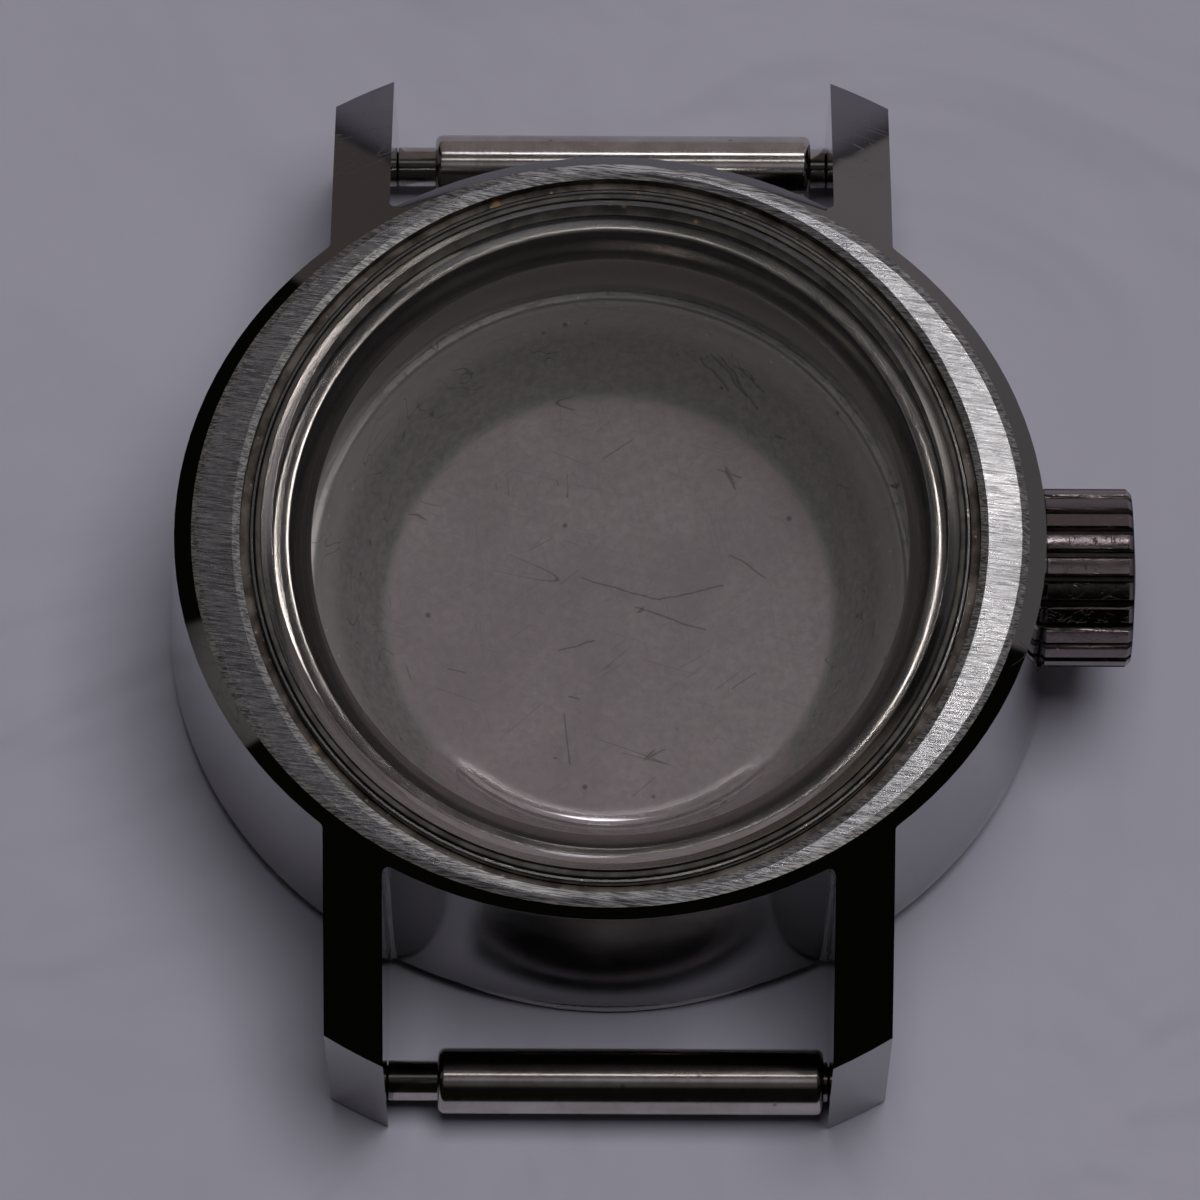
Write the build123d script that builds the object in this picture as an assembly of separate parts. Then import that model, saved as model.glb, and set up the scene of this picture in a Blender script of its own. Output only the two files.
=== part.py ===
from build123d import *
import math
import os

# A small watch case with no movement, in millimetres.
# The origin is the centre of the case back's flat outer face, on which the case rests.
# +X points to the crown at three o'clock, +Y to twelve o'clock and +Z up through the crystal.

# Case body: an oval with a flared flank, a polished slope and a brushed ring on top,
# each measured outwards from the one inside it, and the ring from the crystal's opening
foot_height = 0.70
body_height = 9.25
ring_width_x = 1.29
ring_width_y = 0.41
slope_width_x = 0.46
slope_width_y = 0.28
flare_x = 0.55
flare_y = 0.36
ring_edge_width = 0.20
ring_edge_drop = 0.04
slope_drop = 0.23
slope_reach_share = 18.0
foot_edge_radius = 0.30

# Lugs: two pairs, their tops turned with the slope and their ends turned round the case
lug_gap = 12.00
lug_width = 1.58
lug_reach = 4.42
lug_end_lean = 0.42
lug_underside = 0.10
lug_heel_run = 1.15
lug_root_radius = 0.15

# Openings turned in the body
crystal_groove_width = 0.24
crystal_groove_depth = 0.45
movement_bore_step = 0.15
back_bore_step = 0.68

# Crystal, its seal and the ring that grips it
crystal_radius = 9.32
crystal_thickness = 1.40
crystal_stand = 0.40
crystal_bevel = 0.30
seal_wall = 0.14
seal_flange_width = 0.45
seal_flange_thickness = 0.25
seal_recess = 0.06
grip_ring_wall = 0.14
grip_ring_recess = 0.12
grip_ring_edge = 0.04
ring_clearance = 0.02

# Reflector ring between the crystal and the dial's place
reflector_flange_inset = 0.32
reflector_flange_width = 0.41
reflector_flange_thickness = 0.50
reflector_slope_width = 0.57
reflector_skirt_wall = 0.38
reflector_foot_drop = 0.35
reflector_land = 0.05

# Crown tube, pressed into the body at three o'clock
stem_height = 5.54
tube_radius = 0.85
tube_wall = 0.25
tube_recess = 0.20
tube_end_gap = 0.06
tube_edge = 0.08

# Crown, its inner end sunk in a shallow round seat in the flank
crown_radius = 2.42
crown_length = 2.60
crown_gap = 0.08
crown_seat_inset = 0.10
crown_seat_clearance = 0.12
flute_count = 22
flute_depth = 0.15
crown_end_edge = 0.14
crown_end_rise = 0.12
crown_end_face_share = 1 / 3
crown_shell_wall = 0.65
crown_shell_end = 0.40
crown_seal_space = 0.40
core_recess = 0.05
core_floor = 0.30
post_clearance = 0.07
post_length = 2.80
stem_thread_radius = 0.35
stem_thread_depth = 2.20
washer_thickness = 0.15
washer_clearance = 0.10

# Case back
back_rest_inset = 0.23
back_lip_overlap = 2.00
back_lip_edge = 0.25
back_groove_inset = 0.80
back_groove_width = 0.40
back_groove_depth = 0.10
back_neck_clearance = 0.03
back_neck_wall = 0.86
back_rim_gap = 0.05
back_rim_clearance = 0.14
back_floor_thickness = 1.50
back_dish_width = 1.80
back_floor_blend = 0.50
back_rim_edge = 0.10
back_seal_height = 0.45
back_seal_depth = 0.36
back_seal_offset = 0.15
back_seal_edge = 0.08
knife_notch_width = 2.60
knife_notch_depth = 0.55
knife_notch_height = 0.22

# Spring bars: both barrels stand nearer the lugs on the crown's side
bar_end_distance = 2.27
bar_seat_height = 1.15
bar_radius = 0.90
bar_wall = 0.22
bar_play = 1.50
upper_bar_gap = 0.44
lower_bar_gap = 0.14
bar_crimp_thickness = 0.25
bar_end_radius = 0.22
bar_shoulder_radius = 0.55
bar_shoulder_gap = 0.02
bar_slide_clearance = 0.02
bar_pivot_radius = 0.40
bar_pivot_clearance = 0.05
bar_pivot_length = 0.75
bar_pivot_edge = 0.08
bar_collar_length = 1.20
bar_hole_end_gap = 0.05
bar_spring_clearance = 0.08
bar_spring_wire_radius = 0.13
bar_spring_turns = 11
bar_spring_gap = 0.03

# Cuts run this far past the faces that they open
overrun = 1.0

# Heights worked out from the sizes above
body_top = foot_height + body_height
shoulder_height = body_top - slope_drop
crystal_top = body_top + crystal_stand
crystal_underside = crystal_top - crystal_thickness
seal_seat = crystal_underside - seal_flange_thickness
reflector_top = crystal_underside - ring_clearance
reflector_seat = reflector_top - reflector_flange_thickness
reflector_foot = reflector_seat - reflector_foot_drop
back_rim_top = stem_height - tube_radius - back_rim_clearance
back_bore_top = back_rim_top + back_rim_gap
bar_height = lug_underside + bar_seat_height

# Rings round the crystal, worked outwards from it to the body's foot
seal_inner_radius = crystal_radius + ring_clearance
seal_outer_radius = seal_inner_radius + seal_wall
grip_inner_radius = seal_outer_radius + ring_clearance
grip_outer_radius = grip_inner_radius + grip_ring_wall
crystal_bore_radius = grip_outer_radius + ring_clearance
crystal_opening_radius = crystal_bore_radius + crystal_groove_width
ring_half_x = crystal_opening_radius + ring_width_x
ring_half_y = crystal_opening_radius + ring_width_y
shoulder_half_x = ring_half_x + slope_width_x
shoulder_half_y = ring_half_y + slope_width_y
foot_half_x = shoulder_half_x + flare_x
foot_half_y = shoulder_half_y + flare_y

# Rings inside the crystal, worked inwards from it to the case back's floor
reflector_flange_radius = crystal_radius - reflector_flange_inset
reflector_top_radius = reflector_flange_radius - reflector_flange_width
reflector_foot_radius = reflector_top_radius - reflector_slope_width
reflector_skirt_radius = reflector_foot_radius + reflector_skirt_wall
movement_bore_radius = reflector_skirt_radius - movement_bore_step
back_bore_radius = movement_bore_radius + back_bore_step
back_rest_radius = back_bore_radius - back_rest_inset
back_lip_radius = back_bore_radius + back_lip_overlap
back_groove_outer = back_rest_radius - back_groove_inset
back_groove_inner = back_groove_outer - back_groove_width
back_neck_radius = back_bore_radius - back_neck_clearance
back_neck_inner_radius = back_neck_radius - back_neck_wall
back_floor_radius = back_neck_inner_radius - back_dish_width

# Lugs and the spring bars between them
lug_inner = lug_gap / 2
lug_outer = lug_inner + lug_width
lug_end_radius = foot_half_y + lug_reach
lug_heel_reach = foot_half_y + lug_heel_run
bar_reach = lug_end_radius - bar_end_distance
bar_length = lug_gap - bar_play
upper_bar_shift = bar_play / 2 - upper_bar_gap
lower_bar_shift = bar_play / 2 - lower_bar_gap
bar_far_gap = bar_play - min(upper_bar_gap, lower_bar_gap)
bar_bore_radius = bar_radius - bar_wall
bar_crimp_radius = bar_shoulder_radius + bar_slide_clearance
bar_collar_radius = bar_bore_radius - bar_slide_clearance
bar_collar_start = lug_inner - bar_far_gap - bar_crimp_thickness - bar_slide_clearance
bar_spring_radius = bar_bore_radius - bar_spring_clearance - bar_spring_wire_radius
bar_hole_radius = bar_pivot_radius + bar_pivot_clearance
bar_hole_depth = bar_pivot_length - bar_shoulder_gap + bar_hole_end_gap

# Places along the stem, and the crown's radii
crown_seat_face = shoulder_half_x - crown_seat_inset
crown_inner = crown_seat_face + crown_gap
crown_outer = crown_inner + crown_length
shell_bore_radius = crown_radius - crown_shell_wall
core_outer_end = crown_outer - crown_shell_end
core_floor_face = core_outer_end - core_floor
core_inner_end = crown_inner + core_recess
core_bore_radius = tube_radius + crown_seal_space
tube_bore_radius = tube_radius - tube_wall
tube_inner_end = movement_bore_radius + tube_recess
tube_outer_end = core_floor_face - tube_end_gap
post_radius = tube_bore_radius - post_clearance
post_end = core_floor_face - post_length
washer_face = core_inner_end + washer_thickness
seal_centre_radius = (tube_radius + core_bore_radius) / 2
crown_seal_section = core_bore_radius - tube_radius - 2 * ring_clearance


def turned(points):
    """A closed profile of (radius, height) points turned about the vertical axis."""
    profile = Plane.XZ * make_face(Polyline(*points, close=True))
    return revolve(profile, Axis.Z, 360)


def turned_on_stem(points):
    """A closed profile of (x, radius) points turned about the stem's axis."""
    profile = Plane.XZ * make_face(Polyline(*points, close=True))
    return Pos(0, 0, stem_height) * revolve(profile, Axis.X, 360)


def rod(start, end, radius, y=0, z=0):
    """A cylinder along X between two places."""
    middle = (start + end) / 2
    return Pos(middle, y, z) * Rot(0, 90, 0) * Cylinder(radius, abs(end - start))


def oval(half_x, half_y, height):
    return Pos(0, 0, height) * Ellipse(half_x, half_y)


def case_outline(half_x, half_y, height):
    """The oval and its four lugs seen from above, rounded where they meet."""
    outline = Ellipse(half_x, half_y)
    lug_middle = (lug_inner + lug_outer) / 2
    lug_reach = lug_end_radius + overrun
    for side in (-1, 1):
        outline += Pos(side * lug_middle, 0, 0) * Rectangle(lug_width, 2 * lug_reach)
    roots = outline.vertices().filter_by(lambda corner: abs(corner.Y) < half_y)
    outline = fillet(roots, lug_root_radius)
    return Pos(0, 0, height) * outline


def flared_body():
    """The outline drawn up from the wide foot to the narrower crest, its foot rounded."""
    lean_share = slope_drop / (shoulder_height - foot_height)
    crest_x = shoulder_half_x + (shoulder_half_x - foot_half_x) * lean_share
    crest_y = shoulder_half_y + (shoulder_half_y - foot_half_y) * lean_share
    foot = case_outline(foot_half_x, foot_half_y, foot_height)
    crest = case_outline(crest_x, crest_y, body_top)
    body = loft([foot, crest], ruled=True)
    foot_face = body.faces().sort_by(Axis.Z)[0]
    foot_edges = foot_face.edges().filter_by(GeomType.LINE, reverse=True)
    return fillet(foot_edges, foot_edge_radius)


def lug_heels():
    """The lower part of the lugs, which comes down past the body's foot."""
    heel_start = foot_half_y * math.sqrt(1 - (lug_inner / foot_half_x) ** 2)
    profile = Polyline(
        (heel_start, foot_height),
        (lug_heel_reach, lug_underside),
        (lug_end_radius + overrun, lug_underside),
        (lug_end_radius + overrun, foot_height + overrun),
        (heel_start, foot_height + overrun),
        close=True,
    )
    heel = Pos(lug_inner, 0, 0) * extrude(Plane.YZ * make_face(profile), lug_width)
    pair = heel + mirror(heel, Plane.YZ)
    return pair + mirror(pair, Plane.XZ)


def lug_end_cone():
    """The turned surface that cuts all four lug ends."""
    return turned(
        [
            (0, 0),
            (lug_end_radius, 0),
            (lug_end_radius - lug_end_lean, body_top),
            (0, body_top),
        ]
    )


def top_slope():
    """All that lies under the polished slope, which runs on over the lugs."""
    far_x = ring_half_x + (shoulder_half_x - ring_half_x) * slope_reach_share
    far_y = ring_half_y + (shoulder_half_y - ring_half_y) * slope_reach_share
    far_z = body_top - slope_drop * slope_reach_share
    edge_z = body_top - ring_edge_drop
    sections = [
        oval(far_x, far_y, far_z),
        oval(ring_half_x, ring_half_y, edge_z),
        oval(ring_half_x - ring_edge_width, ring_half_y - ring_edge_width, body_top),
    ]
    return loft(sections, ruled=True) + extrude(oval(far_x, far_y, far_z), -far_z)


def case_openings():
    """What is turned out of the body, from the crystal's opening down to the case back's bore."""
    groove_floor = body_top - crystal_groove_depth
    flange_bore = reflector_flange_radius + ring_clearance
    return turned(
        [
            (0, body_top + overrun),
            (crystal_opening_radius + ring_edge_width, body_top + overrun),
            (crystal_opening_radius + ring_edge_width, body_top),
            (crystal_opening_radius, body_top - ring_edge_drop),
            (crystal_opening_radius, groove_floor),
            (crystal_bore_radius, groove_floor),
            (crystal_bore_radius, seal_seat),
            (flange_bore, seal_seat),
            (flange_bore, reflector_seat),
            (reflector_skirt_radius + ring_clearance, reflector_seat),
            (reflector_skirt_radius + ring_clearance, reflector_foot - ring_clearance),
            (movement_bore_radius, reflector_foot - ring_clearance),
            (movement_bore_radius, back_bore_top),
            (back_bore_radius, back_bore_top),
            (back_bore_radius, -overrun),
            (0, -overrun),
        ]
    )


def make_mid_case():
    case = (flared_body() + lug_heels()) & lug_end_cone() & top_slope()
    case -= case_openings()
    case -= rod(0, foot_half_x + overrun, tube_radius, z=stem_height)
    seat_radius = crown_radius + crown_seat_clearance
    case -= rod(crown_seat_face, foot_half_x + overrun, seat_radius, z=stem_height)
    for side in (-1, 1):
        inner = side * (lug_inner - overrun)
        outer = side * (lug_inner + bar_hole_depth)
        for y in (-bar_reach, bar_reach):
            case -= rod(inner, outer, bar_hole_radius, y, bar_height)
    return case


def make_crystal():
    return turned(
        [
            (0, crystal_underside),
            (crystal_radius, crystal_underside),
            (crystal_radius, crystal_top - crystal_bevel),
            (crystal_radius - crystal_bevel, crystal_top),
            (0, crystal_top),
        ]
    )


def make_crystal_gasket():
    inner = seal_outer_radius - seal_flange_width
    top = body_top - seal_recess
    return turned(
        [
            (inner, seal_seat),
            (seal_outer_radius, seal_seat),
            (seal_outer_radius, top),
            (seal_inner_radius, top),
            (seal_inner_radius, crystal_underside),
            (inner, crystal_underside),
        ]
    )


def make_crystal_grip_ring():
    top = body_top - grip_ring_recess
    return turned(
        [
            (grip_inner_radius, seal_seat),
            (grip_outer_radius, seal_seat),
            (grip_outer_radius, top - grip_ring_edge),
            (grip_outer_radius - grip_ring_edge, top),
            (grip_inner_radius + grip_ring_edge, top),
            (grip_inner_radius, top - grip_ring_edge),
        ]
    )


def make_reflector_ring():
    return turned(
        [
            (reflector_top_radius, reflector_top),
            (reflector_flange_radius, reflector_top),
            (reflector_flange_radius, reflector_seat),
            (reflector_skirt_radius, reflector_seat),
            (reflector_skirt_radius, reflector_foot),
            (reflector_foot_radius, reflector_foot),
            (reflector_foot_radius, reflector_foot + reflector_land),
        ]
    )


def make_crown_tube():
    return turned_on_stem(
        [
            (tube_inner_end, tube_bore_radius),
            (tube_inner_end, tube_radius),
            (tube_outer_end - tube_edge, tube_radius),
            (tube_outer_end, tube_radius - tube_edge),
            (tube_outer_end, tube_bore_radius),
        ]
    )


def fluted_outline():
    """Rounded ridges and grooves in turn round the crown, each half a pitch wide."""
    middle_radius = crown_radius - flute_depth / 2
    half_pitch = math.pi / flute_count
    arcs = []
    for index in range(2 * flute_count):
        crest_radius = crown_radius if index % 2 == 0 else crown_radius - flute_depth
        start = Vector(middle_radius, 0).rotate(Axis.Z, math.degrees(half_pitch * (index - 1 / 2)))
        crest = Vector(crest_radius, 0).rotate(Axis.Z, math.degrees(half_pitch * index))
        finish = Vector(middle_radius, 0).rotate(Axis.Z, math.degrees(half_pitch * (index + 1 / 2)))
        arcs.append(ThreePointArc(start, crest, finish))
    return make_face(arcs)


def make_crown_shell():
    prism = extrude(Plane.YZ * fluted_outline(), crown_length)
    prism = Pos(crown_inner, 0, stem_height) * prism
    rim_radius = crown_radius - crown_end_edge
    envelope = turned_on_stem(
        [
            (crown_inner, 0),
            (crown_inner, rim_radius),
            (crown_inner + crown_end_edge, crown_radius),
            (crown_outer - crown_end_rise - crown_end_edge, crown_radius),
            (crown_outer - crown_end_rise, rim_radius),
            (crown_outer, rim_radius * crown_end_face_share),
            (crown_outer, 0),
        ]
    )
    shell = prism & envelope
    return shell - rod(crown_inner - overrun, core_outer_end, shell_bore_radius, z=stem_height)


def make_crown_core():
    core = turned_on_stem(
        [
            (core_inner_end, core_bore_radius),
            (core_inner_end, shell_bore_radius),
            (core_outer_end, shell_bore_radius),
            (core_outer_end, 0),
            (post_end, 0),
            (post_end, post_radius),
            (core_floor_face, post_radius),
            (core_floor_face, core_bore_radius),
        ]
    )
    return core - rod(post_end - overrun, post_end + stem_thread_depth, stem_thread_radius, z=stem_height)


def make_crown_gasket():
    section_radius = crown_seal_section / 2
    place = washer_face + ring_clearance + section_radius
    ring = Pos(place, 0, stem_height) * Rot(0, 90, 0) * Torus(seal_centre_radius, section_radius)
    return ring


def make_crown_washer():
    inner = tube_radius + washer_clearance
    return turned_on_stem(
        [
            (core_inner_end, inner),
            (core_inner_end, core_bore_radius),
            (washer_face, core_bore_radius),
            (washer_face, inner),
        ]
    )


def make_case_back():
    seal_floor = back_neck_radius - back_seal_depth
    seal_bottom = foot_height + back_seal_offset
    seal_top = seal_bottom + back_seal_height
    back = turned(
        [
            (0, 0),
            (back_groove_inner, 0),
            (back_groove_inner + back_groove_depth, back_groove_depth),
            (back_groove_outer - back_groove_depth, back_groove_depth),
            (back_groove_outer, 0),
            (back_rest_radius, 0),
            (back_lip_radius, back_lip_edge),
            (back_lip_radius, foot_height),
            (back_neck_radius, foot_height),
            (back_neck_radius, seal_bottom),
            (seal_floor, seal_bottom),
            (seal_floor, seal_top),
            (back_neck_radius, seal_top),
            (back_neck_radius, back_rim_top - back_rim_edge),
            (back_neck_radius - back_rim_edge, back_rim_top),
            (back_neck_inner_radius, back_rim_top),
            (back_floor_radius, back_floor_thickness),
            (0, back_floor_thickness),
        ]
    )
    floor_edge = back.edges().filter_by(
        lambda edge: abs(edge.center().Z - back_floor_thickness) < ring_clearance
        and abs(edge.length - 2 * math.pi * back_floor_radius) < ring_clearance
    )
    back = fillet(floor_edge, back_floor_blend)
    notch_reach = back_lip_radius - knife_notch_depth / 2 + overrun / 2
    notch = Box(knife_notch_depth + overrun, knife_notch_width, 2 * knife_notch_height)
    return back - Pos(-notch_reach, 0, foot_height) * notch


def make_case_back_gasket():
    bottom = foot_height + back_seal_offset + ring_clearance
    top = foot_height + back_seal_offset + back_seal_height - ring_clearance
    inner = back_neck_radius - back_seal_depth + ring_clearance
    outer = back_bore_radius - ring_clearance
    return turned(
        [
            (inner, bottom),
            (outer - back_seal_edge, bottom),
            (outer, bottom + back_seal_edge),
            (outer, top - back_seal_edge),
            (outer - back_seal_edge, top),
            (inner, top),
        ]
    )


def make_bar_tube(y, shift):
    start = shift - bar_length / 2
    end = shift + bar_length / 2
    tube = rod(start, end, bar_radius, y, bar_height)
    tube = fillet(tube.edges().filter_by(GeomType.CIRCLE), bar_end_radius)
    bore_start = start + bar_crimp_thickness
    bore_end = end - bar_crimp_thickness
    tube -= rod(bore_start, bore_end, bar_bore_radius, y, bar_height)
    return tube - rod(start - overrun, end + overrun, bar_crimp_radius, y, bar_height)


def make_bar_tip(y, side):
    shoulder = side * (lug_inner - bar_shoulder_gap)
    pivot_end = shoulder + side * bar_pivot_length
    collar = side * bar_collar_start
    collar_end = collar - side * bar_collar_length
    pivot = rod(shoulder - side * overrun, pivot_end, bar_pivot_radius, y, bar_height)
    tip_edge = pivot.edges().filter_by(GeomType.CIRCLE).sort_by(Axis.X)[-1 if side > 0 else 0]
    tip = chamfer(tip_edge, bar_pivot_edge)
    tip += rod(collar, shoulder, bar_shoulder_radius, y, bar_height)
    return tip + rod(collar_end, collar, bar_collar_radius, y, bar_height)


def make_bar_spring(y):
    half_length = bar_collar_start - bar_collar_length - bar_spring_gap - bar_spring_wire_radius
    pitch = 2 * half_length / bar_spring_turns
    path = Helix(pitch, 2 * half_length, bar_spring_radius)
    section = Plane(path @ 0, z_dir=path % 0) * Circle(bar_spring_wire_radius)
    coil = sweep(section, path, is_frenet=True)
    return Pos(-half_length, y, bar_height) * Rot(0, 90, 0) * coil


def main():
    os.makedirs("parts", exist_ok=True)
    pieces = {
        "mid_case": make_mid_case(),
        "crystal": make_crystal(),
        "crystal_gasket": make_crystal_gasket(),
        "crystal_grip_ring": make_crystal_grip_ring(),
        "reflector_ring": make_reflector_ring(),
        "crown_tube": make_crown_tube(),
        "crown_shell": make_crown_shell(),
        "crown_core": make_crown_core(),
        "crown_gasket": make_crown_gasket(),
        "crown_washer": make_crown_washer(),
        "case_back": make_case_back(),
        "case_back_gasket": make_case_back_gasket(),
    }
    bars = {"upper": (bar_reach, upper_bar_shift), "lower": (-bar_reach, lower_bar_shift)}
    for name, (y, shift) in bars.items():
        pieces[name + "_bar_tube"] = make_bar_tube(y, shift)
        pieces[name + "_bar_left_tip"] = make_bar_tip(y, -1)
        pieces[name + "_bar_right_tip"] = make_bar_tip(y, 1)
        pieces[name + "_bar_spring"] = make_bar_spring(y)
    for name, piece in pieces.items():
        export_step(piece, "parts/" + name + ".step")


main()
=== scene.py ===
import bmesh
import bpy
import math
from mathutils import Matrix, Vector


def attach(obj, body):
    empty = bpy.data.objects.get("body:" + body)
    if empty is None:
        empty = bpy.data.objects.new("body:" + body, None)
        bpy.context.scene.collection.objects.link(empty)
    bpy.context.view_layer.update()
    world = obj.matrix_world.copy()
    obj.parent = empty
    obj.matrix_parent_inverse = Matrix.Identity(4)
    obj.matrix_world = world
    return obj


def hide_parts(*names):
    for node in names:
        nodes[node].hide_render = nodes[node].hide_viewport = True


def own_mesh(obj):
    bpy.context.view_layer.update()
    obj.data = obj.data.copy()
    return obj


# An empty watch case on pale paper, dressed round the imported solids.
# Sizes below are in millimetres, as in the solids, and are turned into metres where a mesh is made.

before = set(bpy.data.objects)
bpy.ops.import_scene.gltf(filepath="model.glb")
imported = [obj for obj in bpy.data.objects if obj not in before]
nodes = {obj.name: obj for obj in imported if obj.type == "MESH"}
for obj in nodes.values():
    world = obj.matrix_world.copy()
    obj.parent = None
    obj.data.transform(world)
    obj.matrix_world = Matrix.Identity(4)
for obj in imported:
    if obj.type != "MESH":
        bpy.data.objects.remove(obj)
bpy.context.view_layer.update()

MM = 0.001
PER_MM = 1000.0
MERGE = 1e-7
FULL_TURN = 2 * math.pi

# Heights and places of the solids that the pieces and finishes follow
BODY_TOP = 9.95
RING_EDGE = 9.91
GROOVE_FLOOR = 9.50
CRYSTAL_TOP = 10.35
CRYSTAL_UNDERSIDE = 8.95
SEAL_SEAT = 8.70
STEM_HEIGHT = 5.54
BAR_REACH = 13.10
BAR_HEIGHT = 1.25

# Limits within which the body's edges and faces, and the back's rim, are picked out
SHOULDER_LOW = 9.55
SHOULDER_REACH = 10.0
BETWEEN_LUGS = 5.84
SEAT_REACH = 10.0
FLANK_HIGH = 6.0
FRONT_HALF_WIDTH = 6.05
FLATNESS = 0.003
BACK_RIM_TOP = 4.55
BACK_RIM_REACH = 8.30

# Rings, seals and crystal
CRYSTAL_REACH = 9.32
CRYSTAL_BEVEL = 0.30
CRYSTAL_CHAMFER = 0.02
SEAL_FLANGE = 9.03
SEAL_INNER = 9.34
SEAL_OUTER = 9.48
SEAL_TOP = 9.89
GRIP_INNER = 9.50
GRIP_OUTER = 9.64
GRIP_TOP = 9.83
GRIP_EDGE = 0.04
REFLECTOR_TOP = 8.93
REFLECTOR_FOOT = 8.08
REFLECTOR_STEP = 8.43
REFLECTOR_REACH = 9.00
REFLECTOR_MOUTH = 8.59
REFLECTOR_WALL = 8.40
REFLECTOR_THROAT = 8.02
REFLECTOR_LIP = 0.05
BACK_SEAL_INNER = 8.56
BACK_SEAL_OUTER = 8.91
BACK_SEAL_LOW = 0.87
BACK_SEAL_HIGH = 1.28
BACK_SEAL_EDGE = 0.08
CROWN_SEAL_RADIUS = 1.05
CROWN_SEAL_SECTION = 0.18
CROWN_SEAL_PLACE = 12.03

# Roundings of the edges
SHOULDER_ROUNDING = 0.26
CRYSTAL_ROUNDING = 0.014
SEAL_ROUNDING = 0.03
REFLECTOR_ROUNDING = 0.012
BACK_RIM_ROUNDING = 0.10
BARREL_ROUNDING = 0.20
TIP_ROUNDING = 0.03


# ---------------------------------------------------------------- camera

CAMERA_LENS = 255.0
CAMERA_SENSOR = 36.0
CAMERA_ELEVATION = math.radians(74.0)
CAMERA_DISTANCE = 226.7
RING_CENTRE = Vector((0, 0, BODY_TOP))
AIM = Vector((-0.267, -1.91, BODY_TOP))


def make_camera():
    data = bpy.data.cameras.new("camera")
    data.lens = CAMERA_LENS
    data.sensor_width = CAMERA_SENSOR
    data.clip_start = 0.01
    data.clip_end = 20.0
    camera = bpy.data.objects.new("camera", data)
    away = Vector((0, -math.cos(CAMERA_ELEVATION), math.sin(CAMERA_ELEVATION)))
    camera.location = (RING_CENTRE + CAMERA_DISTANCE * away) * MM
    camera.rotation_euler = (AIM * MM - camera.location).to_track_quat("-Z", "Y").to_euler()
    bpy.context.scene.collection.objects.link(camera)
    bpy.context.scene.camera = camera


# ---------------------------------------------------------------- node helpers


def put(tree, kind, inputs=None, **settings):
    """Adds a node, with its settings and the values or links of its inputs."""
    node = tree.nodes.new(kind)
    for name, value in settings.items():
        setattr(node, name, value)
    for key, value in (inputs or {}).items():
        if isinstance(value, bpy.types.NodeSocket):
            tree.links.new(value, node.inputs[key])
        else:
            node.inputs[key].default_value = value
    return node


def math_node(tree, operation, first, second=0.0, clamp=False):
    node = put(tree, "ShaderNodeMath", {0: first, 1: second}, operation=operation, use_clamp=clamp)
    return node.outputs[0]


def add(tree, first, second):
    return math_node(tree, "ADD", first, second)


def subtract(tree, first, second, clamp=False):
    return math_node(tree, "SUBTRACT", first, second, clamp)


def multiply(tree, first, second):
    return math_node(tree, "MULTIPLY", first, second)


def vector_node(tree, operation, first, second=(0, 0, 0)):
    node = put(tree, "ShaderNodeVectorMath", {0: first, 1: second}, operation=operation)
    return node.outputs["Value" if operation in ("LENGTH", "DOT_PRODUCT", "DISTANCE") else "Vector"]


def ramp_between(tree, value, low, high, to_low=0.0, to_high=1.0):
    node = put(
        tree,
        "ShaderNodeMapRange",
        {"Value": value, "From Min": low, "From Max": high, "To Min": to_low, "To Max": to_high},
        interpolation_type="SMOOTHSTEP",
    )
    return node.outputs["Result"]


def blend_colour(tree, share, first, second, mode="MIX"):
    node = put(tree, "ShaderNodeMix", data_type="RGBA", blend_type=mode)
    for socket, value in ((node.inputs[0], share), (node.inputs[6], first), (node.inputs[7], second)):
        if isinstance(value, bpy.types.NodeSocket):
            tree.links.new(value, socket)
        else:
            socket.default_value = value
    return node.outputs[2]


def blend_value(tree, share, first, second):
    node = put(tree, "ShaderNodeMix", {0: share, 2: first, 3: second}, data_type="FLOAT")
    return node.outputs[0]


def colour(red, green, blue):
    return (red, green, blue, 1.0)


def noise(tree, vector, scale, detail=2.0, roughness=0.5, distortion=0.0):
    settings = {"Vector": vector, "Scale": scale, "Detail": detail, "Roughness": roughness}
    node = put(tree, "ShaderNodeTexNoise", {**settings, "Distortion": distortion})
    return node.outputs["Fac"]


def turn_round(tree, vector, angle):
    """Turns a vector round the vertical axis."""
    node = put(tree, "ShaderNodeVectorRotate", {"Vector": vector, "Angle": angle}, rotation_type="Z_AXIS")
    return node.outputs[0]


def start_group(name, inputs, outputs):
    tree = bpy.data.node_groups.new(name, "ShaderNodeTree")
    for label, kind, default in inputs:
        socket = tree.interface.new_socket(label, in_out="INPUT", socket_type=kind)
        socket.default_value = default
    for label, kind in outputs:
        tree.interface.new_socket(label, in_out="OUTPUT", socket_type=kind)
    return tree, tree.nodes.new("NodeGroupInput").outputs, tree.nodes.new("NodeGroupOutput").inputs


def use_group(tree, group, **inputs):
    node = tree.nodes.new("ShaderNodeGroup")
    node.node_tree = group
    for key, value in inputs.items():
        socket = node.inputs[key.replace("_", " ").capitalize()]
        if isinstance(value, bpy.types.NodeSocket):
            tree.links.new(value, socket)
        else:
            socket.default_value = value
    return node.outputs


# ---------------------------------------------------------------- shared effects


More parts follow.
